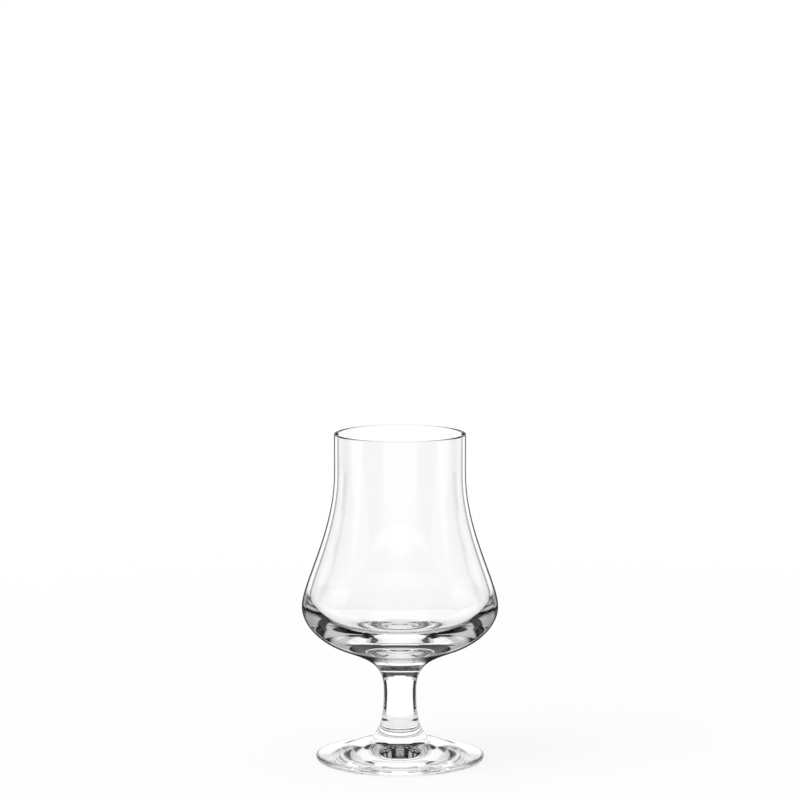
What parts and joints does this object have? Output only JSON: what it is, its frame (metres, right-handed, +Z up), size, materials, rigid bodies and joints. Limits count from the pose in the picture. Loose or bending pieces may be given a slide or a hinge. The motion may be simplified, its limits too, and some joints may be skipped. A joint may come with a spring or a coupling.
{
  "type": "whisky nosing glass",
  "caption": "Short-stemmed nosing glass in clear glass: tulip bowl with a wide low belly, narrow straight neck and heavy base, a solid waisted stem and a round foot.",
  "frame": {"origin": "middle of the plane that the foot stands on", "axes": "+Z up through the middle of the stem and the mouth; the glass is round about Z, so X and Y are free, with -Y towards the picture's camera"},
  "size_m": [0.07, 0.07, 0.1175],
  "materials": {
    "bowl_glass": "clear, fire-polished",
    "stem_glass": "clear, fire-polished",
    "foot_glass": "clear, fire-polished"
  },
  "bodies": {
    "root": {"bowl": "bowl_glass", "stem": "stem_glass", "foot": "foot_glass"}
  },
  "joints": []
}
